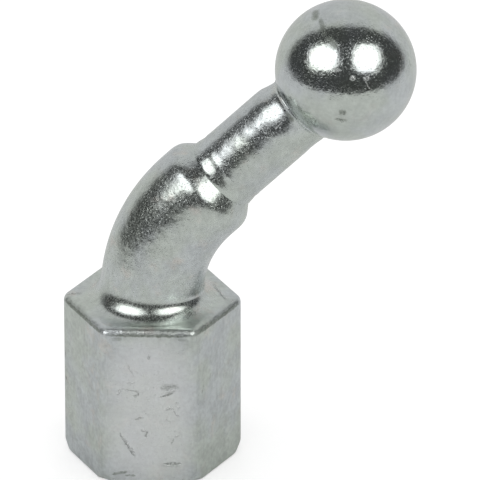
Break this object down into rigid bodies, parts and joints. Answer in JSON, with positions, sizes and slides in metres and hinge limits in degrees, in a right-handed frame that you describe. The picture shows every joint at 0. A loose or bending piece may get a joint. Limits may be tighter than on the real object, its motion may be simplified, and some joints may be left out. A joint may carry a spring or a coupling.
{
  "type": "angle ball stud",
  "caption": "Ball stud of an angle joint: hexagon foot with a blind threaded hole, shank bent about 45 degrees, collar, slimmer neck and turned ball; bright zinc-plated steel.",
  "frame": {"origin": "centre of the threaded hole at the foot's flat end face", "axes": "+Z along the threaded hole, up through the foot; +X towards the side the bent arm leans to, in the plane of the bend"},
  "size_m": [0.0401, 0.018, 0.0568],
  "materials": {
    "zinc_plated_steel": "bright zinc plating over a forged surface, matt on the hexagon and shinier on the turned ball"
  },
  "bodies": {
    "root": {"ball_stud": "zinc_plated_steel"}
  },
  "joints": []
}
